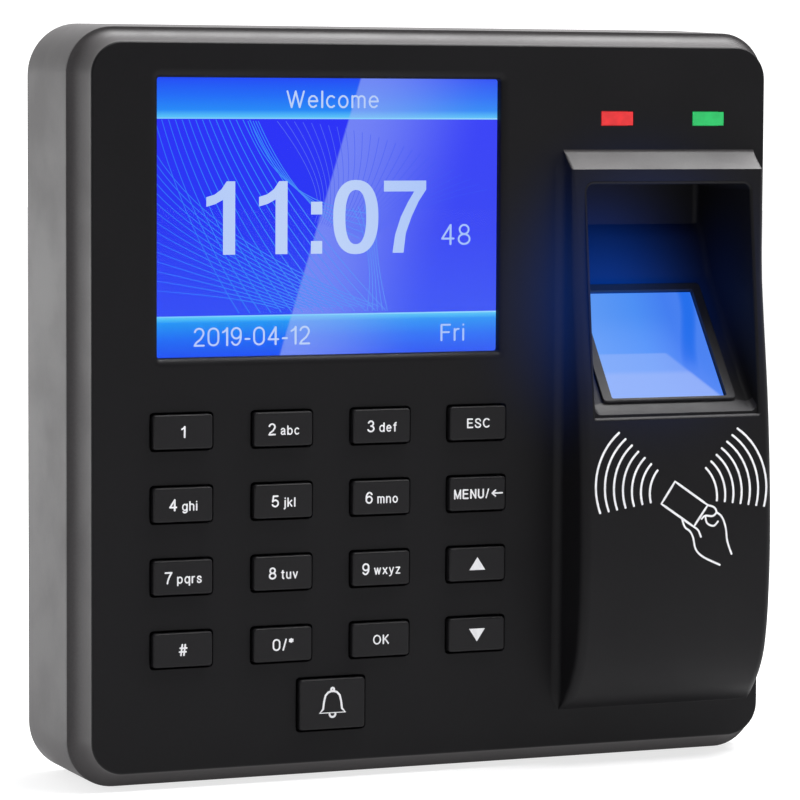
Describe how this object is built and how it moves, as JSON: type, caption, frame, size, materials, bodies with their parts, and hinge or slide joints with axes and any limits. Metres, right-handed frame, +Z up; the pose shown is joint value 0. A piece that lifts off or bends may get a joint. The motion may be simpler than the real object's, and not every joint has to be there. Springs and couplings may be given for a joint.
{
  "type": "fingerprint access terminal",
  "caption": "Wall-mounted access terminal with a colour display, a press keypad, status lamps and a raised housing for a sloping fingerprint sensor and a card reader.",
  "frame": {"origin": "centre of the wall plate's rear face, which lies on the wall", "axes": "+Z up, the front faces -Y, +X to the right as seen from the front"},
  "size_m": [0.1216, 0.0322, 0.1189],
  "materials": {
    "case": "fine spark-textured black ABS",
    "keys": "black keys with printed white legends",
    "display_window": "clear acrylic window",
    "display": "lit colour display, mostly blue",
    "light_guide": "milky light guide",
    "tape": "black foam tape",
    "steel": "zinc-plated steel",
    "circuit_board": "green solder mask on glass-fibre board",
    "black_component": "moulded black component bodies",
    "relay_case": "blue relay case",
    "terminal": "green terminal block",
    "plunger": "white acetal plunger",
    "red_lamp": "translucent red light pipe",
    "green_lamp": "translucent green light pipe",
    "sensor_glass": "optical glass lit blue from behind",
    "coil_wire": "wound enamelled copper wire",
    "keypad_mat": "silicone rubber mat",
    "ribbon": "amber flexible circuit"
  },
  "bodies": {
    "case": {"battery_holder": "black_component", "board_screw_1": "steel", "board_screw_2": "steel", "board_screw_3": "steel", "board_screw_4": "steel", "buzzer": "black_component", "card_board": "circuit_board", "card_coil": "coil_wire", "case_screw_1": "steel", "case_screw_2": "steel", "case_screw_3": "steel", "case_screw_4": "steel", "coin_cell": "steel", "display_window": "display_window", "finger_bay": "case", "front_cover": "case", "green_lamp_window": "green_lamp", "keypad_board": "circuit_board", "keypad_link": "black_component", "keypad_mat": "keypad_mat", "lamp_board": "circuit_board", "lcd_glass": "display", "lcd_light_guide": "light_guide", "lcd_ribbon": "ribbon", "lcd_tray": "steel", "lock_relay": "relay_case", "main_board": "circuit_board", "memory_chip": "black_component", "plate_lock_screw": "steel", "processor_chip": "black_component", "rear_case": "case", "red_lamp_window": "red_lamp", "sensor_bezel": "case", "sensor_board": "circuit_board", "sensor_glass": "sensor_glass", "sensor_housing": "black_component", "sensor_lens": "black_component", "sensor_light_bar": "light_guide", "tamper_switch": "black_component", "wall_plate": "steel", "window_tape": "tape", "wire_terminal": "terminal"},
    "key_1_body": {"key_1": "keys"},
    "key_2_body": {"key_2": "keys"},
    "key_3_body": {"key_3": "keys"},
    "key_esc_body": {"key_esc": "keys"},
    "key_4_body": {"key_4": "keys"},
    "key_5_body": {"key_5": "keys"},
    "key_6_body": {"key_6": "keys"},
    "key_menu_body": {"key_menu": "keys"},
    "key_7_body": {"key_7": "keys"},
    "key_8_body": {"key_8": "keys"},
    "key_9_body": {"key_9": "keys"},
    "key_up_body": {"key_up": "keys"},
    "key_hash_body": {"key_hash": "keys"},
    "key_0_body": {"key_0": "keys"},
    "key_ok_body": {"key_ok": "keys"},
    "key_down_body": {"key_down": "keys"},
    "key_bell_body": {"key_bell": "keys"},
    "tamper_body": {"tamper_plunger": "plunger"}
  },
  "joints": [
    {"name": "key_1_press", "type": "slide", "parent": "case", "child": "key_1_body", "axis": [0, 1, 0], "range_m": [0, 0.0008], "stiffness_N_per_m": 2000},
    {"name": "key_2_press", "type": "slide", "parent": "case", "child": "key_2_body", "axis": [0, 1, 0], "range_m": [0, 0.0008], "stiffness_N_per_m": 2000},
    {"name": "key_3_press", "type": "slide", "parent": "case", "child": "key_3_body", "axis": [0, 1, 0], "range_m": [0, 0.0008], "stiffness_N_per_m": 2000},
    {"name": "key_esc_press", "type": "slide", "parent": "case", "child": "key_esc_body", "axis": [0, 1, 0], "range_m": [0, 0.0008], "stiffness_N_per_m": 2000},
    {"name": "key_4_press", "type": "slide", "parent": "case", "child": "key_4_body", "axis": [0, 1, 0], "range_m": [0, 0.0008], "stiffness_N_per_m": 2000},
    {"name": "key_5_press", "type": "slide", "parent": "case", "child": "key_5_body", "axis": [0, 1, 0], "range_m": [0, 0.0008], "stiffness_N_per_m": 2000},
    {"name": "key_6_press", "type": "slide", "parent": "case", "child": "key_6_body", "axis": [0, 1, 0], "range_m": [0, 0.0008], "stiffness_N_per_m": 2000},
    {"name": "key_menu_press", "type": "slide", "parent": "case", "child": "key_menu_body", "axis": [0, 1, 0], "range_m": [0, 0.0008], "stiffness_N_per_m": 2000},
    {"name": "key_7_press", "type": "slide", "parent": "case", "child": "key_7_body", "axis": [0, 1, 0], "range_m": [0, 0.0008], "stiffness_N_per_m": 2000},
    {"name": "key_8_press", "type": "slide", "parent": "case", "child": "key_8_body", "axis": [0, 1, 0], "range_m": [0, 0.0008], "stiffness_N_per_m": 2000},
    {"name": "key_9_press", "type": "slide", "parent": "case", "child": "key_9_body", "axis": [0, 1, 0], "range_m": [0, 0.0008], "stiffness_N_per_m": 2000},
    {"name": "key_up_press", "type": "slide", "parent": "case", "child": "key_up_body", "axis": [0, 1, 0], "range_m": [0, 0.0008], "stiffness_N_per_m": 2000},
    {"name": "key_hash_press", "type": "slide", "parent": "case", "child": "key_hash_body", "axis": [0, 1, 0], "range_m": [0, 0.0008], "stiffness_N_per_m": 2000},
    {"name": "key_0_press", "type": "slide", "parent": "case", "child": "key_0_body", "axis": [0, 1, 0], "range_m": [0, 0.0008], "stiffness_N_per_m": 2000},
    {"name": "key_ok_press", "type": "slide", "parent": "case", "child": "key_ok_body", "axis": [0, 1, 0], "range_m": [0, 0.0008], "stiffness_N_per_m": 2000},
    {"name": "key_down_press", "type": "slide", "parent": "case", "child": "key_down_body", "axis": [0, 1, 0], "range_m": [0, 0.0008], "stiffness_N_per_m": 2000},
    {"name": "key_bell_press", "type": "slide", "parent": "case", "child": "key_bell_body", "axis": [0, 1, 0], "range_m": [0, 0.0008], "stiffness_N_per_m": 2000},
    {"name": "tamper_press", "type": "slide", "parent": "case", "child": "tamper_body", "axis": [0, -1, 0], "range_m": [0, 0.0008], "stiffness_N_per_m": 500}
  ]
}
